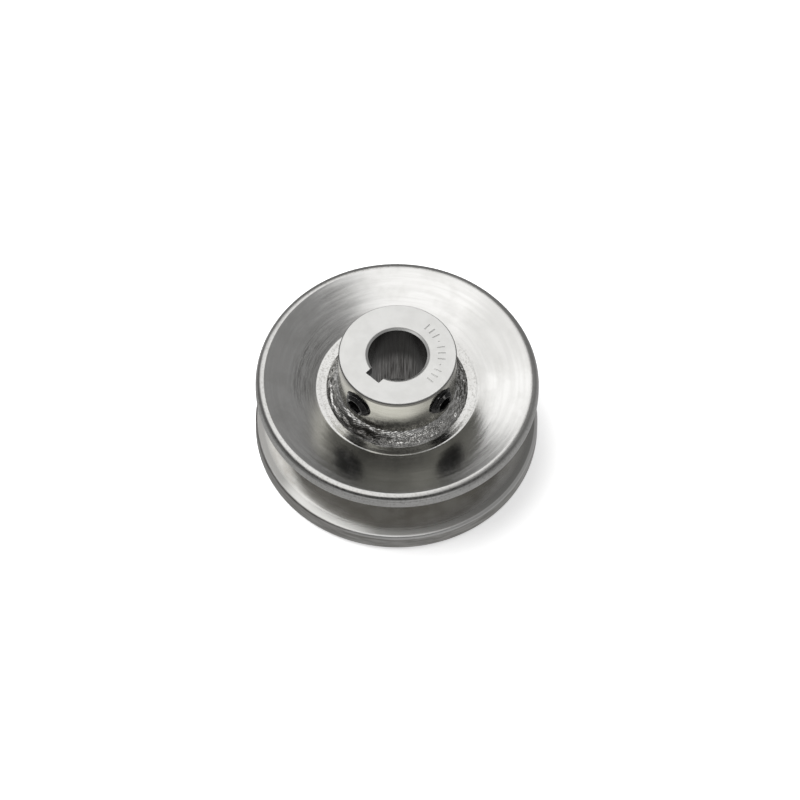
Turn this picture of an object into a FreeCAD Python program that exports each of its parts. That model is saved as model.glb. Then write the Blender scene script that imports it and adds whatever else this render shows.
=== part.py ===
import FreeCAD, Part
import math
import os

# Single-groove V-belt pulley for A and B section belts, 3 in outside diameter, 5/8 in keyed bore.
#
# Two dished flanges stand back to back and make the V groove, which sits nearer the front rim.
# A turned hub goes through the front flange and ends flush with its back face, at the seam.
# One weld bead ties the hub to the front flange, and one inside the back flange's hole ties all three.
# Two socket set screws go through the hub wall: one over the keyway, one a quarter turn away.
#
# Frame: +Z runs along the bore towards the end of the hub that stands proud.
# The origin is on the bore axis, in the plane of the back rim that the pulley lies on.
# The keyway faces -Y and the second set screw faces +X.

Vector = FreeCAD.Vector
INCH = 25.4

# ---- Flanges -----------------------------------------------------------------------------------
outside_diameter = 3.0 * INCH
face_width = 1.0 * INCH
web_thickness = 8.95
front_rim_thickness = 3.8
groove_top_width = 0.612 * INCH
groove_angle = 34.0
groove_edge_round = 0.8
groove_bend_radius = 25.9
groove_bend_round = 2.0
seam_radius = 21.8
seam_round = 2.5
rim_edge_round = 2.0
dish_lip_radius = 35.85
dish_lip_round = 1.2
dish_foot_radius = 21.4
dish_foot_round = 5.0

# ---- Hub ---------------------------------------------------------------------------------------
hub_diameter = 1.25 * INCH
hub_length = 1.0 * INCH
hub_projection = 0.5 * INCH
hub_edge_chamfer = 0.3
bore_diameter = 0.625 * INCH
bore_chamfer_width = 0.6
bore_chamfer_depth = 0.35
flange_fit_clearance = 0.03
keyway_width = 0.1875 * INCH
keyway_floor_radius = 10.07

# ---- Stamped index marks on the front end of the hub ---------------------------------------------
mark_radius = 11.85
mark_length = 2.1
mark_tool_radius = 0.2
mark_depth = 0.13
mark_pitch_angle = 9.1
mark_middle_angle = 45.0
mark_count = 11
marks_per_group = 4

# ---- Welds -------------------------------------------------------------------------------------
front_weld_height = 3.1
front_weld_width = 3.2
back_weld_height = 3.2
back_weld_width = 3.0
weld_clearance = 0.02
weld_crown = 0.4

# ---- Set screws: 5/16-18, socket drive, cup point ------------------------------------------------
screw_diameter = 0.3125 * INCH
screw_length = 0.3125 * INCH
screw_pitch = INCH / 18
screw_thread_depth = 0.6134 * screw_pitch
screw_crest_width = screw_pitch / 8
screw_root_width = screw_pitch / 4
screw_end_chamfer = 1.25
screw_socket_across_flats = 0.15625 * INCH
screw_socket_depth = 3.6
screw_socket_lead_in = 0.25
screw_point_radius = 2.4
screw_cup_radius = 1.9
screw_cup_depth = 1.1
screw_from_hub_face = 0.25 * INCH
screw_stand_out = 1.35
tapped_hole_clearance = 0.05
tapped_hole_countersink = 0.2

# ---- Heights and radii that follow from those --------------------------------------------------
outer_radius = outside_diameter / 2
seam_z = face_width / 2
back_rim_thickness = face_width - groove_top_width - front_rim_thickness
hub_top_z = face_width + hub_projection
hub_bottom_z = hub_top_z - hub_length
hub_radius = hub_diameter / 2
bore_radius = bore_diameter / 2
flange_hole_radius = hub_radius + flange_fit_clearance
screw_radius = screw_diameter / 2
tapped_hole_radius = screw_radius + tapped_hole_clearance
screw_z = hub_top_z - screw_from_hub_face
screw_tip_distance = hub_radius + screw_stand_out - screw_length
screw_directions = {
    "key_set_screw": Vector(0, -1, 0),
    "side_set_screw": Vector(1, 0, 0),
}


def unit(vector):
    """The vector at a length of one."""
    return vector * (1.0 / vector.Length)


def rounded_outline(corners):
    """A closed wire in the XZ plane through (radius, height, rounding) corners."""
    points = [Vector(radius, 0, height) for radius, height, rounding in corners]
    starts = []
    arcs = []
    ends = []
    for index, (radius, height, rounding) in enumerate(corners):
        corner = points[index]
        if rounding == 0:
            starts.append(corner)
            arcs.append(None)
            ends.append(corner)
            continue
        back = unit(points[index - 1] - corner)
        ahead = unit(points[(index + 1) % len(points)] - corner)
        half_angle = back.getAngle(ahead) / 2
        tangent_length = rounding / math.tan(half_angle)
        first = corner + back * tangent_length
        last = corner + ahead * tangent_length
        middle = corner + unit(back + ahead) * (rounding / math.sin(half_angle) - rounding)
        starts.append(first)
        arcs.append(Part.Arc(first, middle, last).toShape())
        ends.append(last)
    edges = []
    for index, arc in enumerate(arcs):
        if arc is not None:
            edges.append(arc)
        next_start = starts[(index + 1) % len(starts)]
        edges.append(Part.LineSegment(ends[index], next_start).toShape())
    return Part.Wire(edges)


def turned(wire):
    """The solid that a closed half outline sweeps round the Z axis."""
    face = Part.Face(wire)
    return face.revolve(Vector(0, 0, 0), Vector(0, 0, 1), 360)


# ---- Flanges -------------------------------------------------------------------------------------
def make_flange(side, rim_thickness):
    """One dished flange on its side of the seam: side is +1 in front and -1 behind."""
    half_width = face_width / 2
    groove_edge_offset = half_width - rim_thickness
    wall_slope = math.tan(math.radians(groove_angle / 2))
    groove_bend_offset = groove_edge_offset - (outer_radius - groove_bend_radius) * wall_slope
    corners = [
        (flange_hole_radius, 0, 0),
        (flange_hole_radius, web_thickness, 0),
        (dish_foot_radius, web_thickness, dish_foot_round),
        (dish_lip_radius, half_width, dish_lip_round),
        (outer_radius, half_width, rim_edge_round),
        (outer_radius, groove_edge_offset, groove_edge_round),
        (groove_bend_radius, groove_bend_offset, groove_bend_round),
        (seam_radius, 0, seam_round),
    ]
    return turned(rounded_outline([(r, seam_z + side * offset, round_) for r, offset, round_ in corners]))


# ---- Hub: turned bar with a keyed bore, two tapped holes and an arc of stamped marks ---------------
def make_keyway_cut():
    """A bar as wide as the key, out to the keyway's floor on the -Y side of the bore."""
    bar = Part.makeBox(keyway_width, keyway_floor_radius, hub_length)
    bar.translate(Vector(-keyway_width / 2, -keyway_floor_radius, hub_bottom_z))
    return bar


def make_tapped_hole_cuts(direction):
    """A hole from the bore out through the hub wall, and the chamfer round its mouth."""
    foot = Vector(0, 0, screw_z)
    mouth_radius = tapped_hole_radius + tapped_hole_countersink
    # The chamfer starts where a hole this wide breaks through the side of the round hub.
    mouth = foot + direction * math.sqrt(hub_radius ** 2 - mouth_radius ** 2)
    throat = mouth - direction * tapped_hole_countersink
    hole = Part.makeCylinder(tapped_hole_radius, hub_diameter, foot, direction)
    chamfer = Part.makeCone(tapped_hole_radius, mouth_radius, tapped_hole_countersink, throat, direction)
    clearing = Part.makeCylinder(mouth_radius, hub_radius, mouth, direction)
    return [hole, chamfer, clearing]


def make_mark_cuts():
    """Plain stamped strokes in an arc, with a round dot between each group of strokes."""
    height = hub_top_z + mark_tool_radius - mark_depth
    first_angle = mark_middle_angle - mark_pitch_angle * (mark_count - 1) / 2
    cuts = []
    for index in range(mark_count):
        angle = math.radians(first_angle + mark_pitch_angle * index)
        outward = Vector(math.cos(angle), math.sin(angle), 0)
        if index % marks_per_group == marks_per_group - 1:
            cuts.append(Part.makeSphere(mark_tool_radius, outward * mark_radius + Vector(0, 0, height)))
            continue
        start = outward * (mark_radius - mark_length / 2) + Vector(0, 0, height)
        cuts.append(Part.makeCylinder(mark_tool_radius, mark_length, start, outward))
    return cuts


def make_hub():
    """The hub, with its keyway facing -Y and a tapped hole for each set screw."""
    corners = [
        (bore_radius + bore_chamfer_width, hub_top_z, 0),
        (hub_radius - hub_edge_chamfer, hub_top_z, 0),
        (hub_radius, hub_top_z - hub_edge_chamfer, 0),
        (hub_radius, hub_bottom_z, 0),
        (bore_radius + bore_chamfer_width, hub_bottom_z, 0),
        (bore_radius, hub_bottom_z + bore_chamfer_depth, 0),
        (bore_radius, hub_top_z - bore_chamfer_depth, 0),
    ]
    cuts = [make_keyway_cut()]
    for direction in screw_directions.values():
        cuts.extend(make_tapped_hole_cuts(direction))
    cuts.extend(make_mark_cuts())
    return turned(rounded_outline(corners)).cut(cuts)


# ---- Welds: crowned fillets all round -------------------------------------------------------------
def make_weld(corner, first_toe, second_toe):
    """A fillet turned about Z, from its inner corner out to a bulge between its two toes."""
    between = (first_toe + second_toe) * 0.5
    crown = between + unit(between - corner) * weld_crown
    edges = [
        Part.LineSegment(corner, first_toe).toShape(),
        Part.Arc(first_toe, crown, second_toe).toShape(),
        Part.LineSegment(second_toe, corner).toShape(),
    ]
    return turned(Part.Wire(edges))


def make_front_weld():
    """The bead between the front flange's web and the side of the hub."""
    radius = hub_radius + weld_clearance
    web_z = seam_z + web_thickness
    web_toe = Vector(hub_radius + front_weld_width, 0, web_z)
    hub_toe = Vector(radius, 0, web_z + front_weld_height)
    return make_weld(Vector(radius, 0, web_z), web_toe, hub_toe)


def make_back_weld():
    """The bead inside the back flange's hole, on the end of the hub and over the seam."""
    radius = flange_hole_radius - weld_clearance
    end_toe = Vector(radius - back_weld_width, 0, hub_bottom_z)
    wall_toe = Vector(radius, 0, hub_bottom_z - back_weld_height)
    return make_weld(Vector(radius, 0, hub_bottom_z), end_toe, wall_toe)


# ---- Set screws ----------------------------------------------------------------------------------
def make_socket_cut():
    """The six-sided key socket in the screw's outer end, with a chamfered lead-in."""
    corner_radius = screw_socket_across_flats / 2 / math.cos(math.radians(30))
    corners = []
    for index in range(7):
        angle = math.radians(60 * index)
        x = corner_radius * math.cos(angle)
        y = corner_radius * math.sin(angle)
        corners.append(Vector(x, y, screw_length - screw_socket_depth))
    socket = Part.Face(Part.makePolygon(corners)).extrude(Vector(0, 0, screw_socket_depth))
    narrow = corner_radius - screw_socket_lead_in
    lead_in = Part.makeCone(
        narrow,
        corner_radius,
        screw_socket_lead_in,
        Vector(0, 0, screw_length - screw_socket_lead_in),
    )
    return [socket, lead_in]


def make_set_screw(direction):
    """A cup-point set screw along its radial axis, with its thread as rings at the pitch."""
    root = screw_radius - screw_thread_depth
    flank = (screw_pitch - screw_crest_width - screw_root_width) / 2
    height = screw_radius - screw_point_radius
    top_of_thread = screw_length - screw_end_chamfer
    corners = [
        (0, screw_cup_depth),
        (screw_cup_radius, 0),
        (screw_point_radius, 0),
        (screw_radius, height),
    ]
    while height + screw_pitch < top_of_thread:
        corners.append((screw_radius, height + screw_crest_width))
        corners.append((root, height + screw_crest_width + flank))
        corners.append((root, height + screw_crest_width + flank + screw_root_width))
        corners.append((screw_radius, height + screw_pitch))
        height += screw_pitch
    corners.append((screw_radius, top_of_thread))
    corners.append((screw_radius - screw_end_chamfer, screw_length))
    corners.append((0, screw_length))
    screw = turned(rounded_outline([(radius, z, 0) for radius, z in corners])).cut(make_socket_cut())
    turn = FreeCAD.Rotation(Vector(0, 0, 1), direction)
    tip = direction * screw_tip_distance + Vector(0, 0, screw_z)
    screw.Placement = FreeCAD.Placement(tip, turn)
    return screw


nodes = {
    "front_flange": make_flange(1, front_rim_thickness),
    "back_flange": make_flange(-1, back_rim_thickness),
    "hub": make_hub(),
    "front_weld": make_front_weld(),
    "back_weld": make_back_weld(),
}
for name, direction in screw_directions.items():
    nodes[name] = make_set_screw(direction)

os.makedirs("parts", exist_ok=True)
for name, shape in nodes.items():
    shape.exportStep("parts/" + name + ".step")
    print(name, "solids", len(shape.Solids), "valid", shape.isValid(), "volume", round(shape.Volume, 1))
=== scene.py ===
import math

import bmesh
import bpy
from mathutils import Matrix, Vector, noise


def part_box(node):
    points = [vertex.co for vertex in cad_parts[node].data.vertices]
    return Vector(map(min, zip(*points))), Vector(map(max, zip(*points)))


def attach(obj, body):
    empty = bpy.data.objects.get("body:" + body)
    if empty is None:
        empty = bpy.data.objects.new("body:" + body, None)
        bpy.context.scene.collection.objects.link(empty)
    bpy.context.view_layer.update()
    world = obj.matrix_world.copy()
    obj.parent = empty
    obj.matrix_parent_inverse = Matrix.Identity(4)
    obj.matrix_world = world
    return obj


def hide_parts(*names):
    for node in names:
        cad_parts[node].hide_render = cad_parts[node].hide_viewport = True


# V-belt pulley: two spun flanges back to back, a keyed hub that stands proud, two rough weld beads
# and two black socket set screws. It is in the CAD frame: +Z along the bore, keyway towards -Y.
# The sizes and the materials of the pulley's pieces are in millimetres, and MM turns them into the
# frame's metres. The camera, the floor's mesh and the lights are in metres.

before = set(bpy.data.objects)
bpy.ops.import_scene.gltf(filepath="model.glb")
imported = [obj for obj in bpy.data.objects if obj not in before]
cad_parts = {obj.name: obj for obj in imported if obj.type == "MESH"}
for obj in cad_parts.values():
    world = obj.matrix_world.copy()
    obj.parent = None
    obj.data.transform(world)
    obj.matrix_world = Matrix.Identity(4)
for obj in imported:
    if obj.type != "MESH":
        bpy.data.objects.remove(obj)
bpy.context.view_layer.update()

MM = 0.001

# ---- Where things are, from the CAD nodes --------------------------------------------------------
front_low, front_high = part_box("front_flange")
hub_low, hub_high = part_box("hub")
seam_z = front_low.z
back_seam_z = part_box("back_flange")[1].z
RIM_RADIUS = front_high.x / MM
HALF_WIDTH = (front_high.z - seam_z) / MM
HUB_RADIUS = hub_high.x / MM
HUB_BOTTOM = hub_low.z / MM


# ---- Node helpers --------------------------------------------------------------------------------
class Graph:
    """A short way to write shader node trees."""

    def __init__(self, tree):
        self.tree = tree

    def node(self, kind, **settings):
        made = self.tree.nodes.new(kind)
        for name, value in settings.items():
            setattr(made, name, value)
        return made

    def feed(self, socket, value):
        """Link a socket to another, or set it to a constant."""
        if isinstance(value, bpy.types.NodeSocket):
            self.tree.links.new(value, socket)
        else:
            socket.default_value = value

    def math(self, operation, a, b=0.0):
        made = self.node("ShaderNodeMath", operation=operation)
        self.feed(made.inputs[0], a)
        self.feed(made.inputs[1], b)
        return made.outputs[0]

    def times(self, first, *others):
        for other in others:
            first = self.math("MULTIPLY", first, other)
        return first

    def plus(self, first, *others):
        for other in others:
            first = self.math("ADD", first, other)
        return first

    def minus(self, first, *others):
        for other in others:
            first = self.math("SUBTRACT", first, other)
        return first

    def most(self, a, b):
        return self.math("MAXIMUM", a, b)

    def band(self, value, start, end, low=0.0, high=1.0):
        """A smooth ramp from low at start to high at end."""
        made = self.node("ShaderNodeMapRange", interpolation_type="SMOOTHSTEP")
        self.feed(made.inputs["Value"], value)
        made.inputs["From Min"].default_value = start
        made.inputs["From Max"].default_value = end
        made.inputs["To Min"].default_value = low
        made.inputs["To Max"].default_value = high
        return made.outputs["Result"]

    def strip(self, value, rise, fall):
        """1 between two smooth ramps: in over the rise, out over the fall."""
        return self.times(self.band(value, *rise), self.band(value, *fall))

    def combine(self, x, y, z):
        made = self.node("ShaderNodeCombineXYZ")
        for socket, value in zip(made.inputs, (x, y, z)):
            self.feed(socket, value)
        return made.outputs[0]

    def noise(self, vector, scale, detail, roughness):
        made = self.node("ShaderNodeTexNoise")
        self.feed(made.inputs["Vector"], vector)
        made.inputs["Scale"].default_value = scale
        made.inputs["Detail"].default_value = detail
        made.inputs["Roughness"].default_value = roughness
        return made.outputs["Fac"]

    def mix(self, factor, a, b):
        """Colour a where the factor is 0, colour b where it is 1."""
        made = self.node("ShaderNodeMix", data_type="RGBA")
        self.feed(made.inputs[0], factor)
        self.feed(made.inputs[6], a)
        self.feed(made.inputs[7], b)
        return made.outputs[2]

    # Lays real stains and wear, and also painted shade and painted highlights.
    def stain(self, tone, colour, mask, strength):
        """A tone with a colour laid over it where the mask is."""
        return self.mix(self.times(mask, strength), tone, colour)


class Surface:
    """A point of the surface in millimetres, with its radius and direction about the Z axis."""

    def __init__(self, graph):
        self.graph = graph
        split = graph.node("ShaderNodeSeparateXYZ")
        graph.feed(split.inputs[0], graph.node("ShaderNodeTexCoord").outputs["Object"])
        self.x, self.y, self.z = [graph.times(part, 1 / MM) for part in split.outputs]
        squared = graph.plus(graph.times(self.x, self.x), graph.times(self.y, self.y))
        self.radius = graph.math("SQRT", graph.most(squared, 1e-6))
        self.cosine = graph.math("DIVIDE", self.x, self.radius)
        self.sine = graph.math("DIVIDE", self.y, self.radius)

    def even_noise(self, scale, detail, roughness):
        """Noise that has the same size in every direction."""
        place = self.graph.combine(self.x, self.y, self.z)
        return self.graph.noise(place, scale, detail, roughness)

    def turned_noise(self, around, along, rate, detail, roughness):
        """Noise that closes on itself round the axis and runs at its own rate along a path."""
        graph = self.graph
        place = graph.combine(graph.times(self.cosine, around), graph.times(self.sine, around),
                              graph.times(along, rate))
        return graph.noise(place, 1.0, detail, roughness)

    def towards(self, side):
        """1 on the side at this angle, 0 a quarter turn from it and -1 opposite."""
        graph = self.graph
        return graph.plus(graph.times(self.cosine, math.cos(side)),
                          graph.times(self.sine, math.sin(side)))


def rgb(r, g, b):
    return (r, g, b, 1.0)


def new_material(name):
    material = bpy.data.materials.new(name)
    material.use_nodes = True
    tree = material.node_tree
    tree.nodes.clear()
    graph = Graph(tree)
    shader = graph.node("ShaderNodeBsdfPrincipled")
    output = graph.node("ShaderNodeOutputMaterial")
    tree.links.new(shader.outputs[0], output.inputs["Surface"])
    return material, graph, shader


def add_finish(graph, shader, tone, rough, metallic):
    graph.feed(shader.inputs["Base Color"], tone)
    graph.feed(shader.inputs["Roughness"], rough)
    shader.inputs["Metallic"].default_value = metallic


def add_turned_gloss(graph, shader, anisotropy):
    """Reflections drawn out across the turning lines."""
    shader.inputs["Anisotropic"].default_value = anisotropy
    tangent = graph.node("ShaderNodeTangent", direction_type="RADIAL", axis="Z")
    graph.feed(shader.inputs["Tangent"], tangent.outputs[0])


def add_bump(graph, shader, height, strength, distance):
    """Bump from a height; its distance is in metres."""
    bump = graph.node("ShaderNodeBump")
    bump.inputs["Strength"].default_value = strength
    bump.inputs["Distance"].default_value = distance
    graph.feed(bump.inputs["Height"], height)
    graph.feed(shader.inputs["Normal"], bump.outputs[0])


# ---- Materials -----------------------------------------------------------------------------------
# Sides of the pulley with marks of their own, as angles from +X towards +Y.
SCUFFED_SIDE = math.radians(208)
DIM_SIDE = math.radians(71)
GROOVE_HIGHLIGHT_SIDE = math.radians(280)
NEAR_SIDE = math.radians(305)
BACK_EDGE_HIGHLIGHT_SIDE = math.radians(356)
LIT_SIDE = math.radians(139)
RIPPLED_SIDE = math.radians(345)
CHANNEL_SIDE = math.radians(280)
LIGHTER_SIDE = math.radians(234)
ROUGH_SIDE = math.radians(50)

# Colours of the flanges' plating, from its clean surface to its stains, with the painted shade and
# painted highlights laid on it.
PLATE_SHADE = rgb(0.72, 0.715, 0.70)
PLATE_LIGHT = rgb(0.785, 0.78, 0.765)
PLATE_CLOUD = rgb(0.60, 0.595, 0.575)
# Also used for painted shade on the dish's foot, the lip's top and the groove's outer edge.
PLATE_DIM = rgb(0.40, 0.395, 0.38)
PLATE_SCUFF = rgb(0.30, 0.295, 0.285)
PLATE_GRAIN = rgb(0.36, 0.35, 0.33)
GROOVE_SHADE = rgb(0.47, 0.455, 0.425)
GROOVE_LIGHT = rgb(0.58, 0.57, 0.545)
# Painted highlight on the groove's outer edge.
GROOVE_EDGE_HIGHLIGHT = rgb(0.78, 0.775, 0.75)
RIM_SIDE_LIGHT = rgb(0.56, 0.55, 0.53)
# Painted highlight on the back rim's groove edge.
BACK_EDGE_HIGHLIGHT = rgb(0.86, 0.855, 0.84)
LIP_LINE_DARK = rgb(0.10, 0.095, 0.09)

# Places on the flanges. A pair is a ramp, from where a mark is absent to where it is full.
GROOVE_MIDDLE = 13.83
GROOVE_HALF_TOP = 7.77
GROOVE_MOUTH = (GROOVE_HALF_TOP + 0.05, GROOVE_HALF_TOP - 0.25)
GROOVE_BOTTOM = (20.5, 21.5)
GROOVE_EDGE = (34.3, 36.4)
LIP = (35.6, 36.2)
LIP_TOP_END = (37.8, 37.0)
LAND = (23.0, 20.5)
DISH_FOOT = (26.5, 22.5)
SCUFFS_INSIDE, SCUFFS_OUTSIDE = (21.8, 23.0), (29.5, 27.0)
LIP_LINE_INSIDE, LIP_LINE_OUTSIDE = (36.85, 37.15), (37.70, 37.35)
FRONT_RIM_UP = (20.0, 22.0)
BACK_RIM_DOWN = (7.0, 6.2)
RIM_SIDE = (37.4, 38.0)
BACK_EDGE_HIGHLIGHT_RADIUS = (37.1, 37.5)
BACK_EDGE_HIGHLIGHT_BELOW, BACK_EDGE_HIGHLIGHT_ABOVE = (5.2, 5.6), (6.8, 6.4)


def make_spun_zinc():
    """Spun plate under bright zinc: turning lines, scuffs, grainy lip and land, a dull groove, and
    painted shade and highlights on the dish's foot, lip, groove and rims.
    """
    material, g, shader = new_material("spun_zinc")
    spot = Surface(g)
    z, radius = spot.z, spot.radius
    path = g.plus(radius, g.times(z, 1.7))
    fine_lines = spot.turned_noise(around=3.0, along=path, rate=9.0, detail=3.0, roughness=0.65)
    soft_streaks = spot.turned_noise(around=1.6, along=path, rate=0.55, detail=2.0, roughness=0.5)
    scuff_lines = spot.turned_noise(around=4.0, along=path, rate=1.9, detail=4.0, roughness=0.7)
    smears = spot.turned_noise(around=5.0, along=path, rate=0.5, detail=4.0, roughness=0.6)
    waves = spot.turned_noise(around=2.0, along=path, rate=0.38, detail=1.0, roughness=0.5)
    clouds = spot.even_noise(scale=0.16, detail=3.0, roughness=0.55)
    grain = spot.even_noise(scale=1.7, detail=3.0, roughness=0.7)

    from_groove = g.math("ABSOLUTE", g.minus(z, GROOVE_MIDDLE))
    in_groove = g.times(g.band(from_groove, *GROOVE_MOUTH), g.band(radius, *GROOVE_BOTTOM))
    on_lip = g.band(radius, *LIP)
    lip_top = g.times(on_lip, g.band(radius, *LIP_TOP_END))
    grainy = g.most(g.times(g.band(radius, *LAND), 0.55), g.times(on_lip, 0.42))
    scuffed = g.times(g.strip(radius, SCUFFS_INSIDE, SCUFFS_OUTSIDE),
                      g.band(spot.towards(SCUFFED_SIDE), 0.74, 0.98))
    scuffs = g.times(g.band(scuff_lines, 0.40, 0.64), scuffed)
    # Painted shade on the dish's foot by the hub; the dish is also darker on one side.
    dim = g.most(g.times(g.band(spot.towards(DIM_SIDE), 0.90, 0.99), 0.34),
                 g.times(g.band(radius, *DISH_FOOT), 0.26))
    back_side = g.times(g.band(radius, *RIM_SIDE), g.band(z, *BACK_RIM_DOWN))
    # Painted highlight along the back rim's groove edge, strongest on one side.
    back_edge_highlight = g.times(g.strip(z, BACK_EDGE_HIGHLIGHT_BELOW, BACK_EDGE_HIGHLIGHT_ABOVE),
                        g.band(radius, *BACK_EDGE_HIGHLIGHT_RADIUS),
                        g.band(spot.towards(BACK_EDGE_HIGHLIGHT_SIDE), 0.20, 0.75))
    # Painted shade: a thin dark line round the front rim's lip, strongest on the near side.
    lip_line = g.times(g.strip(radius, LIP_LINE_INSIDE, LIP_LINE_OUTSIDE),
                       g.band(z, *FRONT_RIM_UP),
                       g.band(spot.towards(NEAR_SIDE), 0.1, 0.95, 0.25, 0.85))
    ragged = g.band(grain, 0.62, 0.40, 0.45, 1.0)

    tone = g.mix(g.band(soft_streaks, 0.35, 0.68), PLATE_SHADE, PLATE_LIGHT)
    tone = g.stain(tone, PLATE_CLOUD, g.band(clouds, 0.42, 0.68), 0.42)
    tone = g.mix(dim, tone, PLATE_DIM)
    # Painted shade on the rounded top of the lip.
    tone = g.stain(tone, PLATE_DIM, lip_top, 0.28)
    tone = g.stain(tone, PLATE_SCUFF, scuffs, 0.85)
    tone = g.stain(tone, PLATE_GRAIN, g.band(grain, 0.50, 0.62), grainy)
    # Painted highlight on the groove's outer edge on one side; elsewhere that edge is darker.
    edge_tone = g.mix(g.band(spot.towards(GROOVE_HIGHLIGHT_SIDE), 0.90, 0.985), PLATE_DIM, GROOVE_EDGE_HIGHLIGHT)
    groove_tone = g.mix(g.band(smears, 0.38, 0.64), GROOVE_SHADE, GROOVE_LIGHT)
    groove_tone = g.mix(g.band(radius, *GROOVE_EDGE), groove_tone, edge_tone)
    # The groove is darker than the dish: a duller finish, and painted shade of the deep groove.
    tone = g.mix(in_groove, tone, groove_tone)
    # Painted shade on the back rim's outer side, next to the floor.
    side_tone = g.mix(g.band(smears, 0.35, 0.66), PLATE_GRAIN, RIM_SIDE_LIGHT)
    tone = g.mix(back_side, tone, side_tone)
    tone = g.stain(tone, BACK_EDGE_HIGHLIGHT, back_edge_highlight, 0.9)
    tone = g.stain(tone, LIP_LINE_DARK, lip_line, ragged)

    rough = g.plus(0.115, g.times(soft_streaks, 0.04), g.times(fine_lines, 0.07),
                   g.times(scuffs, 0.10), g.times(on_lip, 0.12), g.times(in_groove, 0.05))
    add_finish(g, shader, tone, rough, metallic=1.0)
    add_turned_gloss(g, shader, anisotropy=0.35)
    height = g.plus(g.times(fine_lines, 0.6), g.times(scuffs, 0.5), g.times(grain, grainy, 3.0),
                    g.times(waves, 4.0))
    add_bump(g, shader, height, strength=0.30, distance=0.00004)
    return material


# Colours of the hub's turned end, its warmer side, and the painted shade on its side and in its
# bore.
END_SHADE = rgb(0.72, 0.717, 0.70)
END_LIGHT = rgb(0.77, 0.767, 0.75)
SIDE_SHADE = rgb(0.66, 0.65, 0.58)
SIDE_LIGHT = rgb(0.78, 0.77, 0.70)
# Painted shade on the side away from the near side.
SIDE_FAR_SHADE = rgb(0.36, 0.35, 0.32)
# Painted shade on the side's top edge, upper part and foot.
SIDE_DEEP_SHADE = rgb(0.17, 0.165, 0.155)
BORE_SHADE = rgb(0.09, 0.085, 0.08)
BORE_STREAK = rgb(0.40, 0.39, 0.38)
BORE_DEEP = rgb(0.045, 0.043, 0.04)
BORE_END = rgb(0.02, 0.02, 0.02)
KEYWAY_DARK = rgb(0.05, 0.048, 0.045)
MOUTH_DARK = rgb(0.20, 0.195, 0.19)

# Heights and radii on the hub, as ramps.
INSIDE_BORE = (10.4, 10.2)
BELOW_FACE = (37.82, 37.70)
HUB_SIDE = (15.7, 15.8)
UPPER_SIDE = (34.5, 37.3)
TOP_EDGE = (36.6, 37.1)
SIDE_FOOT = (30.5, 28.3)
BORE_TOP = (22.0, 28.0)
BORE_BOTTOM = (13.8, 13.1)
KEYWAY = (8.15, 8.5)
MOUTH_INSIDE, MOUTH_OUTSIDE = (8.40, 8.50), (8.80, 8.65)


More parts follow.
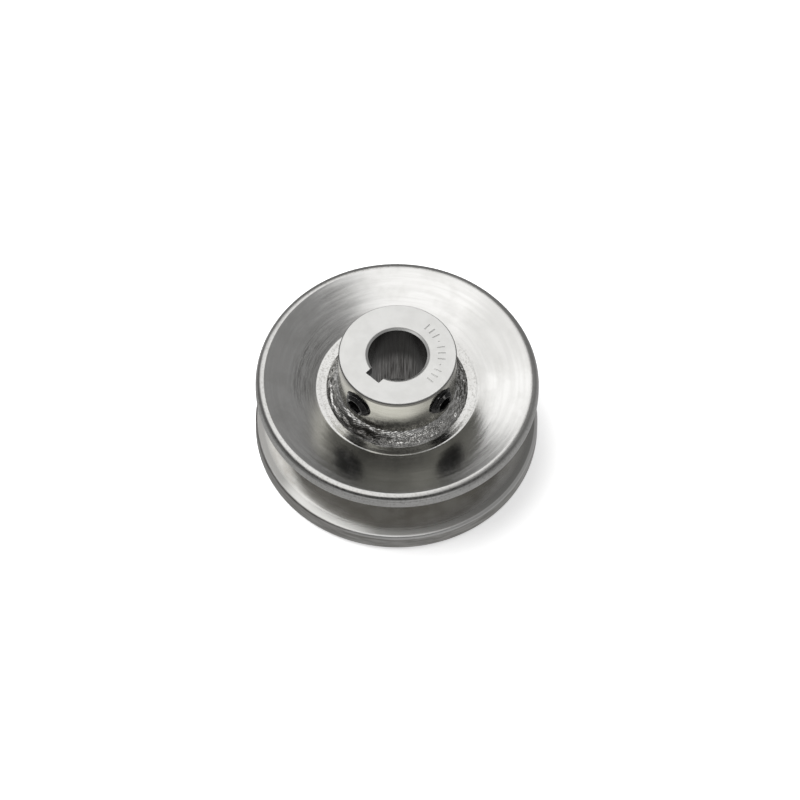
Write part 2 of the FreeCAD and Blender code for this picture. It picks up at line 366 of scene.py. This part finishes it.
def make_turned_zinc():
    """The hub: satin turned end, brighter side with a warm cast and painted shade, drawn bore
    darkened with painted shade.
    """
    material, g, shader = new_material("turned_zinc")
    spot = Surface(g)
    z, radius = spot.z, spot.radius
    rings = spot.turned_noise(around=2.2, along=radius, rate=11.0, detail=2.0, roughness=0.6)
    side_lines = spot.turned_noise(around=2.5, along=z, rate=6.0, detail=2.0, roughness=0.6)
    drawn = spot.turned_noise(around=34.0, along=z, rate=0.09, detail=3.0, roughness=0.7)
    clouds = spot.even_noise(scale=0.3, detail=2.0, roughness=0.5)
    blotches = spot.even_noise(scale=0.9, detail=3.0, roughness=0.6)
    near = spot.towards(NEAR_SIDE)
    in_bore = g.times(g.band(radius, *INSIDE_BORE), g.band(z, *BELOW_FACE))
    on_side = g.band(radius, *HUB_SIDE)

    # Painted shade at the side's foot by the weld, mottled and strongest on the near side.
    foot_shade = g.times(g.band(z, *SIDE_FOOT, 0.0, 0.65), g.band(near, 0.70, 0.92),
                      g.band(blotches, 0.38, 0.60, 0.45, 1.15))
    # Painted shade: a dark line along the top edge, and the upper side darker away from the near
    # side.
    edge_dark = g.times(g.band(z, *UPPER_SIDE), g.band(near, 0.97, 0.60, 0.0, 0.62))
    edge_dark = g.most(edge_dark, g.band(z, *TOP_EDGE, 0.0, 0.92))
    edge_dark = g.most(edge_dark, foot_shade)
    side_tone = g.mix(g.band(side_lines, 0.3, 0.7), SIDE_SHADE, SIDE_LIGHT)
    # Painted shade: the side darkens away from the near side.
    side_tone = g.mix(g.band(near, 0.92, 0.35, 0.0, 0.62), side_tone, SIDE_FAR_SHADE)
    side_tone = g.mix(edge_dark, side_tone, SIDE_DEEP_SHADE)

    lit = spot.towards(LIT_SIDE)
    # Painted shade in the bore: a dark base with lighter drawn streaks, darker towards the top and
    # away from the lit side, near black at the bottom end and in the keyway.
    bore_tone = g.mix(g.band(drawn, 0.38, 0.66), BORE_SHADE, BORE_STREAK)
    bore_tone = g.mix(g.band(z, *BORE_TOP, 0.0, 0.88), bore_tone, BORE_DEEP)
    bore_tone = g.mix(g.band(lit, 0.88, 0.55, 0.0, 0.72), bore_tone, BORE_DEEP)
    bore_tone = g.mix(g.band(z, *BORE_BOTTOM), bore_tone, BORE_END)
    bore_tone = g.mix(g.band(radius, *KEYWAY, 0.0, 0.75), bore_tone, KEYWAY_DARK)

    tone = g.mix(g.band(clouds, 0.3, 0.7), END_SHADE, END_LIGHT)
    tone = g.mix(on_side, tone, side_tone)
    # Painted shade: a dark ring round the mouth of the bore.
    tone = g.stain(tone, MOUTH_DARK, g.strip(radius, MOUTH_INSIDE, MOUTH_OUTSIDE), 0.60)
    tone = g.mix(in_bore, tone, bore_tone)

    rough = g.plus(0.30, g.times(rings, 0.10))
    rough = g.minus(rough, g.times(on_side, 0.17), g.times(in_bore, 0.08))
    add_finish(g, shader, tone, rough, metallic=1.0)
    add_turned_gloss(g, shader, anisotropy=0.2)
    face_height = g.times(rings, g.minus(1.0, on_side))
    height = g.plus(g.times(face_height, 0.5), g.times(side_lines, 0.25),
                    g.times(drawn, in_bore, 2.0))
    add_bump(g, shader, height, strength=0.25, distance=0.00003)
    return material


# Colours of the weld beads, and radii on the front one as ramps.
BEAD_DARK = rgb(0.13, 0.125, 0.115)
BEAD_LIGHT = rgb(0.88, 0.87, 0.85)
BEAD_LIGHTER = rgb(0.95, 0.94, 0.92)
# Painted shade for the bead's channel.
BEAD_CHANNEL_SHADE = rgb(0.06, 0.055, 0.05)
# Painted highlight for the side with the strongest ripples.
BEAD_RIPPLE_HIGHLIGHT = rgb(0.92, 0.91, 0.89)
BEAD_UPPER = (18.0, 17.0)
CHANNEL_INSIDE, CHANNEL_OUTSIDE = (16.4, 17.0), (19.0, 18.4)


def make_weld_metal():
    """Rough bead under bright zinc: crumpled and shiny, with dark pits, painted shade in its
    channel, a lighter upper part on one side and a painted highlight on the side with the strongest
    ripples.
    """
    material, g, shader = new_material("weld_metal")
    spot = Surface(g)
    radius = spot.radius
    across = g.minus(spot.z, radius)
    streaks = spot.turned_noise(around=7.0, along=across, rate=1.5, detail=4.0, roughness=0.62)
    pits = spot.even_noise(scale=2.2, detail=3.0, roughness=0.6)
    lighter_upper = g.times(g.band(spot.towards(LIGHTER_SIDE), 0.75, 0.95), g.band(radius, *BEAD_UPPER))
    in_channel = g.times(g.strip(radius, CHANNEL_INSIDE, CHANNEL_OUTSIDE),
                         g.band(spot.towards(CHANNEL_SIDE), 0.80, 0.98))
    # Painted highlight over the side with the strongest ripples.
    ripple_highlight = g.band(spot.towards(RIPPLED_SIDE), 0.60, 0.98, 0.0, 0.42)

    tone = g.mix(g.band(streaks, 0.42, 0.56), BEAD_DARK, BEAD_LIGHT)
    tone = g.stain(tone, BEAD_DARK, g.band(pits, 0.50, 0.40), 0.65)
    # The bead's upper part is lighter on one side.
    tone = g.stain(tone, BEAD_LIGHTER, lighter_upper, 0.45)
    # Painted shade in the bead's channel, strongest on one side.
    tone = g.stain(tone, BEAD_CHANNEL_SHADE, in_channel, 0.80)
    tone = g.mix(ripple_highlight, tone, BEAD_RIPPLE_HIGHLIGHT)
    add_finish(g, shader, tone, g.band(pits, 0.3, 0.7, 0.30, 0.12), metallic=1.0)
    height = g.plus(g.times(streaks, 1.6), g.times(pits, 0.5))
    add_bump(g, shader, height, strength=0.40, distance=0.00012)
    return material


# Colours of the screws, from fresh oxide to worn edges, whose grey is also a painted highlight.
OXIDE_DARK = rgb(0.012, 0.012, 0.013)
OXIDE_LIGHT = rgb(0.035, 0.034, 0.034)
OXIDE_WEAR_AND_GLINT = rgb(0.42, 0.41, 0.40)


def make_black_oxide():
    """Oiled black oxide on the set screws, worn to grey on the thread crests and edges, a grey that
    is also a painted highlight.
    """
    material, g, shader = new_material("black_oxide")
    mottle = Surface(g).even_noise(scale=1.6, detail=3.0, roughness=0.6)
    edges = g.node("ShaderNodeNewGeometry").outputs["Pointiness"]
    tone = g.mix(g.band(mottle, 0.35, 0.7), OXIDE_DARK, OXIDE_LIGHT)
    # Grey on sharp edges: wear, and a painted highlight.
    tone = g.stain(tone, OXIDE_WEAR_AND_GLINT, g.band(edges, 0.53, 0.60), 0.85)
    add_finish(g, shader, tone, g.band(mottle, 0.3, 0.7, 0.22, 0.36), metallic=0.6)
    add_bump(g, shader, mottle, strength=0.2, distance=0.00005)
    return material


spun_zinc = make_spun_zinc()
turned_zinc = make_turned_zinc()
weld_metal = make_weld_metal()
black_oxide = make_black_oxide()


# ---- Mesh helpers --------------------------------------------------------------------------------
def mesh_object(name, points, faces, material, smooth_angle):
    """A closed mesh with outward faces, smooth where they meet below an angle in degrees."""
    mesh = bpy.data.meshes.new(name)
    mesh.from_pydata([tuple(p) for p in points], [], faces)
    shell = bmesh.new()
    shell.from_mesh(mesh)
    bmesh.ops.recalc_face_normals(shell, faces=shell.faces)
    shell.to_mesh(mesh)
    shell.free()
    mesh.materials.append(material)
    piece = bpy.data.objects.new(name, mesh)
    bpy.context.scene.collection.objects.link(piece)
    mesh.polygons.foreach_set("use_smooth", [True] * len(mesh.polygons))
    mesh.set_sharp_from_angle(angle=math.radians(smooth_angle))
    mesh.update()
    return piece


def turn_angles(steps):
    """Angles of a whole turn in even steps."""
    return [2 * math.pi * step / steps for step in range(steps)]


def ring_point(radius, angle, z):
    """A point in metres, from a radius in millimetres, an angle and a height in metres."""
    return (radius * math.cos(angle) * MM, radius * math.sin(angle) * MM, z)


def ring_faces(ring_count, around, closed):
    """Quads between rings of points; closed joins the last ring to the first."""
    faces = []
    for ring in range(ring_count if closed else ring_count - 1):
        ahead = (ring + 1) % ring_count
        for step in range(around):
            turn = (step + 1) % around
            faces.append((ring * around + step, ring * around + turn,
                          ahead * around + turn, ahead * around + step))
    return faces


def rounded_profile(corners, spacing):
    """Points round a closed outline of (radius, height, rounding) corners, arcs included."""
    fewest_arc_steps = 3
    arc_spacing = spacing / 2
    outline = []
    for index, (radius, height, rounding) in enumerate(corners):
        corner = Vector((radius, height))
        back = (Vector(corners[index - 1][:2]) - corner).normalized()
        ahead = (Vector(corners[(index + 1) % len(corners)][:2]) - corner).normalized()
        if rounding == 0:
            outline.append(corner)
            continue
        half = back.angle(ahead) / 2
        reach = rounding / math.tan(half)
        centre = corner + (back + ahead).normalized() * (rounding / math.sin(half))
        first = corner + back * reach - centre
        last = corner + ahead * reach - centre
        sweep = first.angle_signed(last)
        steps = max(fewest_arc_steps, int(abs(sweep) * rounding / arc_spacing))
        for step in range(steps + 1):
            turned_by = Matrix.Rotation(-sweep * step / steps, 2)
            outline.append(centre + turned_by @ first)
    filled = []
    for index, point in enumerate(outline):
        following = outline[(index + 1) % len(outline)]
        pieces = max(1, int((following - point).length / spacing))
        for step in range(pieces):
            filled.append(point.lerp(following, step / pieces))
    return filled


# ---- Flanges -------------------------------------------------------------------------------------
FLANGE_HOLE = 15.905
WEB_TOP = 8.95
LAND_TOP = WEB_TOP - 0.05
LAND_RADIUS = 20.3
RIDGE_TOP = WEB_TOP + 0.03
RIDGE_RADIUS = 21.3
DISH_START = 21.75
DISH_START_TOP = WEB_TOP - 0.01
DISH_END = 35.85
FRONT_RIM = 3.8
BACK_RIM = 6.0552
RIM_EDGE_LIFT = 0.08
GROOVE_SEAM_RADIUS = 21.8
GROOVE_BEND_RADIUS = 25.9
GROOVE_FLARE_RADIUS = 35.3
GROOVE_ANGLE = 34.0
GROOVE_WALL_SLOPE = math.tan(math.radians(GROOVE_ANGLE / 2))
FLANGE_STEPS = 540
FLANGE_SPACING = 0.45
FLANGE_SMOOTH_ANGLE = 40


def make_flange(name, node, start_z, side, rim_thickness):
    """One flange as a fine lathe mesh from its seam; side is 1 for the front, -1 for the back."""
    groove_edge = HALF_WIDTH - rim_thickness

    def wall_height(radius):
        return groove_edge - (RIM_RADIUS - radius) * GROOVE_WALL_SLOPE

    # Radius, height above the seam and rounding of each corner.
    corners = [
        (FLANGE_HOLE, 0, 0),
        (FLANGE_HOLE, LAND_TOP, 0),
        (LAND_RADIUS, LAND_TOP, 3.0),
        (RIDGE_RADIUS, RIDGE_TOP, 1.0),
        (DISH_START, DISH_START_TOP, 0.8),
        (DISH_END, HALF_WIDTH, 1.2),
        (RIM_RADIUS, HALF_WIDTH, 2.0),
        (RIM_RADIUS, groove_edge + RIM_EDGE_LIFT, 0.8),
        (GROOVE_FLARE_RADIUS, wall_height(GROOVE_FLARE_RADIUS), 6.0),
        (GROOVE_BEND_RADIUS, wall_height(GROOVE_BEND_RADIUS), 2.0),
        (GROOVE_SEAM_RADIUS, 0, 2.5),
    ]
    profile = rounded_profile(corners, FLANGE_SPACING)
    points = [ring_point(radius, angle, start_z + side * height * MM)
              for radius, height in profile for angle in turn_angles(FLANGE_STEPS)]
    faces = ring_faces(len(profile), FLANGE_STEPS, True)
    piece = mesh_object(name, points, faces, spun_zinc, FLANGE_SMOOTH_ANGLE)
    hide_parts(node)
    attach(piece, "pulley")


make_flange("front_flange_spun", "front_flange", seam_z, 1, FRONT_RIM)
make_flange("back_flange_spun", "back_flange", back_seam_z, -1, BACK_RIM)


# ---- Hub: the CAD node with its turned and plated finish -----------------------------------------
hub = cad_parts["hub"]
hub.data.materials.clear()
hub.data.materials.append(turned_zinc)


# ---- Weld beads ----------------------------------------------------------------------------------
WELD_LEG = 3.2
BACK_WELD_WIDTH = 3.0
WELD_CROWN = 0.35
WELD_GAP = 0.02
WELD_SINK = 0.12
WELD_SMOOTH_ANGLE = 70
PEAK_LIMIT = WELD_CROWN + 0.25
TOE_ROUGHNESS = 0.2
LUMP_HEIGHT, LUMP_RATE = 0.40, 0.28
RIPPLE_HEIGHT = 0.12
RIPPLE_PITCH = 1.5
RIPPLE_LEAN = 14.0
RIPPLE_JITTER, RIPPLE_JITTER_RATE = 3, 0.5
CHANNEL_DEPTH = 0.55
CHANNEL_LEAST_SHARE = 0.15
CHANNEL_PLACE = 0.42
CHANNEL_SPREAD = 0.16
CHANNEL_WANDER, CHANNEL_WANDER_RATE = 0.22, 0.5
CREASE_HEIGHT, CREASE_RATE, CREASE_SHARPNESS = 0.20, 1.25, 2.2
HAMMER_HEIGHT, HAMMER_RATE = 0.13, 2.9


def bead_noise(x, y, z, scale, seed):
    return noise.noise(Vector((x * scale + seed, y * scale, z * scale)))


def bead_roughness(angle, share, base, seed):
    """Height of the rough skin over the smooth bead, share of the way from toe to toe."""
    cosine, sine = math.cos(angle), math.sin(angle)
    x, y, z = base.x * cosine, base.x * sine, base.y
    lump = bead_noise(x, y, z, LUMP_RATE, seed) * LUMP_HEIGHT
    phase = angle * base.x * 2 * math.pi / RIPPLE_PITCH + RIPPLE_LEAN * abs(share - 0.5)
    phase += bead_noise(x, y, z, RIPPLE_JITTER_RATE, seed + 9) * RIPPLE_JITTER
    ripple = math.sin(phase) * RIPPLE_HEIGHT * (0.4 + 0.6 * math.cos(angle - RIPPLED_SIDE))
    wander = bead_noise(cosine * 9, sine * 9, 0, CHANNEL_WANDER_RATE, seed + 5) * CHANNEL_WANDER
    run = abs(share - CHANNEL_PLACE - wander) / CHANNEL_SPREAD
    deepest = max(CHANNEL_LEAST_SHARE, math.cos(angle - CHANNEL_SIDE))
    channel = -CHANNEL_DEPTH * math.exp(-run * run) * deepest
    drawn = (cosine * 8.5, sine * 8.5, share * 3.2)
    crease = 0.5 - CREASE_SHARPNESS * abs(bead_noise(*drawn, CREASE_RATE, seed + 21))
    hammer = crease * CREASE_HEIGHT
    hammer += bead_noise(*drawn, HAMMER_RATE, seed + 33) * HAMMER_HEIGHT
    hammer *= 0.95 + 0.40 * math.cos(angle - ROUGH_SIDE)
    return lump + ripple + channel + hammer


def make_weld(name, node, corner, first_toe, second_toe, around, across, seed):
    """A rough bead between two toes, as a closed ring with its back in the corner."""
    corner, first_toe, second_toe = Vector(corner), Vector(first_toe), Vector(second_toe)
    out = ((first_toe + second_toe) / 2 - corner).normalized()
    points = []
    for index in range(across):
        share = index / (across - 1)
        base = first_toe.lerp(second_toe, share)
        swell = math.sin(math.pi * share)
        for angle in turn_angles(around):
            rough = bead_roughness(angle, share, base, seed)
            rise = WELD_CROWN * swell + rough * (TOE_ROUGHNESS + (1 - TOE_ROUGHNESS) * swell)
            spot = base + out * min(rise, PEAK_LIMIT)
            points.append(ring_point(spot.x, angle, spot.y * MM))
    points += [ring_point(corner.x, angle, corner.y * MM) for angle in turn_angles(around)]
    faces = ring_faces(across + 1, around, True)
    piece = mesh_object(name, points, faces, weld_metal, WELD_SMOOTH_ANGLE)
    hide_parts(node)
    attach(piece, "pulley")


front_base = seam_z / MM + WEB_TOP - WELD_SINK
make_weld("front_weld_bead", "front_weld",
          corner=(HUB_RADIUS + WELD_GAP, front_base),
          first_toe=(HUB_RADIUS + WELD_LEG, front_base),
          second_toe=(HUB_RADIUS + WELD_GAP, front_base + WELD_LEG),
          around=900, across=34, seed=3.7)
make_weld("back_weld_bead", "back_weld",
          corner=(HUB_RADIUS - WELD_GAP, HUB_BOTTOM),
          first_toe=(HUB_RADIUS - BACK_WELD_WIDTH, HUB_BOTTOM),
          second_toe=(HUB_RADIUS - WELD_GAP, HUB_BOTTOM - WELD_LEG),
          around=720, across=26, seed=17.3)


# ---- Set screws ----------------------------------------------------------------------------------
SCREW_RADIUS = 3.96
PITCH = 25.4 / 18
THREAD_DEPTH = 0.6134 * PITCH
CREST_SHARE, FLANK_SHARE, ROOT_ROUNDING = 0.13, 0.74, 0.2
SCREW_LENGTH = 7.9375
END_CHAMFER = 1.25
END_RADIUS = SCREW_RADIUS - END_CHAMFER
POINT_RADIUS = 2.4
CUP_RADIUS = 1.9
CUP_DEPTH = 1.1
SOCKET_HALF_FLATS = 3.97 / 2
SOCKET_CORNER = SOCKET_HALF_FLATS / math.cos(math.pi / 6)
SOCKET_DEPTH = 3.6
SOCKET_FLOOR = SCREW_LENGTH - SOCKET_DEPTH
SOCKET_CHAMFER = 0.12
SOCKET_MARGIN = 0.02
SOCKET_LEDGE, SOCKET_CONE = 0.5, 0.4
EDGE_BREAK = 0.03
EDGE_WIDTH = 0.05
SCREW_STEPS = 96
BODY_RINGS = 150
SCREW_SMOOTH_ANGLE = 35


def circle(radius):
    """A ring of one radius, as a function of the angle."""
    return lambda angle: radius


def hexagon(margin):
    """A ring along the socket's sides, a margin outside them, as a function of the angle."""
    def radius_at(angle):
        sector = (angle % (math.pi / 3)) - math.pi / 6
        return SOCKET_HALF_FLATS / math.cos(sector) + margin
    return radius_at


def thread(height):
    """A ring of the thread: flat crests, rounded roots, cut by the chamfers at both ends."""
    def radius_at(angle):
        phase = (height / PITCH - angle / (2 * math.pi)) % 1.0
        ramp = min(phase, 1.0 - phase) * 2.0
        cut = min(1.0, max(0.0, (ramp - CREST_SHARE) / FLANK_SHARE))
        rounded = 0.5 - 0.5 * math.cos(math.pi * cut)
        cut = cut * (1 - ROOT_ROUNDING) + ROOT_ROUNDING * rounded
        point_limit = POINT_RADIUS + height
        end_limit = END_RADIUS + (SCREW_LENGTH - height)
        return min(SCREW_RADIUS - THREAD_DEPTH * cut, point_limit, end_limit)
    return radius_at


# Rings from the bottom of the cup, over the point, up the thread and down to the socket's floor.
BODY_HEIGHTS = [EDGE_BREAK + (SCREW_LENGTH - 2 * EDGE_BREAK) * index / BODY_RINGS
                for index in range(BODY_RINGS + 1)]
SCREW_RINGS = [
    (CUP_DEPTH / 2, circle(CUP_RADIUS / 2)),
    (EDGE_BREAK, circle(CUP_RADIUS)),
    (0.0, circle(CUP_RADIUS + EDGE_WIDTH)),
    (0.0, circle(POINT_RADIUS - EDGE_BREAK)),
    *[(height, thread(height)) for height in BODY_HEIGHTS],
    (SCREW_LENGTH, circle(END_RADIUS - EDGE_WIDTH)),
    (SCREW_LENGTH, circle(SOCKET_CORNER + SOCKET_CHAMFER)),
    (SCREW_LENGTH - EDGE_BREAK, circle(SOCKET_CORNER + EDGE_WIDTH)),
    (SCREW_LENGTH - SOCKET_CHAMFER, hexagon(SOCKET_MARGIN)),
    (SCREW_LENGTH - 0.3, hexagon(0.0)),
    (SCREW_LENGTH - SOCKET_DEPTH * 0.6, hexagon(0.0)),
    (SOCKET_FLOOR + SOCKET_LEDGE, hexagon(0.0)),
    (SOCKET_FLOOR + SOCKET_CONE, circle(SOCKET_HALF_FLATS - EDGE_WIDTH)),
]


def make_screw(name, node, body, direction, tip):
    """A cup-point socket set screw with a true helical thread and a hexagonal socket."""
    turn = Vector((0, 0, 1)).rotation_difference(direction)
    points = [(radius_at(angle) * math.cos(angle), radius_at(angle) * math.sin(angle), height)
              for height, radius_at in SCREW_RINGS for angle in turn_angles(SCREW_STEPS)]
    faces = ring_faces(len(SCREW_RINGS), SCREW_STEPS, False)
    last = (len(SCREW_RINGS) - 1) * SCREW_STEPS
    for middle, first in ((CUP_DEPTH, 0), (SOCKET_FLOOR, last)):
        points.append((0, 0, middle))
        for step in range(SCREW_STEPS):
            faces.append((first + step, first + (step + 1) % SCREW_STEPS, len(points) - 1))
    points = [(turn @ Vector(point)) * MM + tip for point in points]
    piece = mesh_object(name, points, faces, black_oxide, SCREW_SMOOTH_ANGLE)
    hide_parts(node)
    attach(piece, body)


key_low, key_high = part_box("key_set_screw")
side_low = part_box("side_set_screw")[0]
screw_z = (key_low.z + key_high.z) / 2
make_screw("key_screw_threaded", "key_set_screw", "key_screw", Vector((0, -1, 0)),
           Vector((0, key_high.y, screw_z)))
make_screw("side_screw_threaded", "side_set_screw", "side_screw", Vector((1, 0, 0)),
           Vector((side_low.x, 0, screw_z)))


# ---- Camera: angles in degrees, lengths in metres, lens and sensor in millimetres ----------------
CAMERA_AZIMUTH = 41.5
CAMERA_ELEVATION = 57.82
CAMERA_DISTANCE = 2.5
CAMERA_LENS = 417.4
CAMERA_SENSOR = 36.0
CAMERA_ROLL = 0.99
CLIP_NEAR, CLIP_FAR = 0.1, 20.0
TARGET_RIGHT = 0.00084
TARGET_HEIGHT = 0.01531


def direction_from(azimuth, elevation):
    """Unit vector towards where a viewer at this azimuth and elevation stands."""
    a, e = math.radians(azimuth), math.radians(elevation)
    return Vector((math.sin(a) * math.cos(e), -math.cos(a) * math.cos(e), math.sin(e)))


back = direction_from(CAMERA_AZIMUTH, CAMERA_ELEVATION)
right = Vector((math.cos(math.radians(CAMERA_AZIMUTH)), math.sin(math.radians(CAMERA_AZIMUTH)), 0))
up = back.cross(right)
roll = math.radians(CAMERA_ROLL)
rolled_right = right * math.cos(roll) + up * math.sin(roll)
rolled_up = up * math.cos(roll) - right * math.sin(roll)
target = right * TARGET_RIGHT + Vector((0, 0, TARGET_HEIGHT))
camera_data = bpy.data.cameras.new("camera")
camera_data.lens = CAMERA_LENS
camera_data.sensor_width = CAMERA_SENSOR
camera_data.clip_start = CLIP_NEAR
camera_data.clip_end = CLIP_FAR
camera = bpy.data.objects.new("camera", camera_data)
place = Matrix((rolled_right, rolled_up, back)).transposed().to_4x4()
place.translation = target + back * CAMERA_DISTANCE
camera.matrix_world = place
bpy.context.scene.collection.objects.link(camera)
bpy.context.scene.camera = camera
bpy.context.scene.view_settings.view_transform = "Standard"
bpy.context.scene.view_settings.look = "None"


# ---- Floor ---------------------------------------------------------------------------------------
FLOOR_HALF_SIZE = 6.0
FLOOR_GLOW = 0.53
FLOOR_GLOW_RADIUS = (30.0, 38.0)  # a ramp, in the materials' millimetres


def make_floor():
    """A plain pale floor that brightens to white away from the pulley."""
    size = FLOOR_HALF_SIZE
    mesh = bpy.data.meshes.new("floor")
    mesh.from_pydata([(-size, -size, 0), (size, -size, 0), (size, size, 0), (-size, size, 0)], [],
                     [(0, 1, 2, 3)])
    material, g, shader = new_material("floor")
    shader.inputs["Base Color"].default_value = rgb(0.9, 0.9, 0.9)
    shader.inputs["Roughness"].default_value = 1.0
    shader.inputs["Specular IOR Level"].default_value = 0.0
    shader.inputs["Emission Color"].default_value = rgb(1.0, 1.0, 1.0)
    glow = g.band(Surface(g).radius, *FLOOR_GLOW_RADIUS, 0.0, FLOOR_GLOW)
    g.feed(shader.inputs["Emission Strength"], glow)
    mesh.materials.append(material)
    piece = bpy.data.objects.new("floor", mesh)
    bpy.context.scene.collection.objects.link(piece)
    piece.visible_glossy = False


make_floor()


# ---- Light: a soft studio room in the sense of the picture, across to the right, away backwards --
CEILING_TONE = 1.05
WALL_TONE = 0.20
RIGHT_TONE = 0.08
FRONT_TONE = 0.14
HORIZON_TONE = 0.34
GROUND_TONE = 0.36

# Where each part of the room fades in, as ramps over the share of a direction that points across,
# away or up.
CEILING_RIGHT, CEILING_LEFT = (0.30, 0.08), (-0.80, -0.50)
CEILING_FAR, CEILING_NEAR = (0.80, 0.68), (-0.42, -0.30)
CEILING_UP = (0.15, 0.40)
HORIZON_ABOVE, HORIZON_BELOW = (0.42, 0.28), (-0.02, 0.10)
HORIZON_NEAR = (-0.60, -0.85)
FRONT_TO_BACK = (-0.6, 0.3)
RIGHT_WALL = (0.1, 0.5)
GROUND_DOWN = (0.02, -0.30)

KEY_LIGHT_DISTANCE = 1.5
KEY_LIGHT_SIZE = 1.6
KEY_LIGHT_POWER = 24.0


def photo_direction(rightward, backward, upward):
    """A direction given as right, away from the camera and up in the picture's own sense."""
    away = Vector((-back.x, -back.y, 0)).normalized()
    return (right * rightward + away * backward + Vector((0, 0, upward))).normalized()


def make_world():
    """One large soft ceiling light that stops short on the right, dim walls and a dim ground."""
    world = bpy.data.worlds.new("studio")
    world.use_nodes = True
    bpy.context.scene.world = world
    tree = world.node_tree
    tree.nodes.clear()
    g = Graph(tree)
    facing = g.node("ShaderNodeTexCoord").outputs["Generated"]

    def reach(direction):
        """How far the world's direction points the same way as this one."""
        dot = g.node("ShaderNodeVectorMath", operation="DOT_PRODUCT")
        g.feed(dot.inputs[0], facing)
        dot.inputs[1].default_value = direction
        return dot.outputs["Value"]

    across = reach(photo_direction(1, 0, 0))
    away = reach(photo_direction(0, 1, 0))
    upward = reach(Vector((0, 0, 1)))
    ceiling = g.times(g.strip(across, CEILING_RIGHT, CEILING_LEFT),
                      g.band(away, *CEILING_FAR), g.band(away, *CEILING_NEAR),
                      g.band(upward, *CEILING_UP))
    horizon = g.times(g.strip(upward, HORIZON_ABOVE, HORIZON_BELOW), g.band(away, *HORIZON_NEAR))
    walls = g.plus(g.band(away, *FRONT_TO_BACK, FRONT_TONE, WALL_TONE),
                   g.band(across, *RIGHT_WALL, 0.0, RIGHT_TONE),
                   g.times(horizon, HORIZON_TONE))
    ground = g.band(upward, *GROUND_DOWN)
    level = g.plus(g.times(walls, g.minus(1.0, ground)), g.times(ground, GROUND_TONE),
                   g.times(ceiling, CEILING_TONE))
    background = g.node("ShaderNodeBackground")
    g.feed(background.inputs["Color"], g.combine(level, level, level))
    background.inputs["Strength"].default_value = 1.0
    output = g.node("ShaderNodeOutputWorld")
    tree.links.new(background.outputs[0], output.inputs["Surface"])


def add_key_light():
    """A wide soft disk from above on the left, which lights but isn't mirrored."""
    direction = photo_direction(-0.45, 0.25, 0.9)
    data = bpy.data.lights.new("key", "AREA")
    data.shape = "DISK"
    data.size = KEY_LIGHT_SIZE
    data.energy = KEY_LIGHT_POWER
    light = bpy.data.objects.new("key", data)
    light.location = direction * KEY_LIGHT_DISTANCE
    light.rotation_euler = (-direction).to_track_quat("-Z", "Y").to_euler()
    bpy.context.scene.collection.objects.link(light)
    light.visible_glossy = False


make_world()
add_key_light()
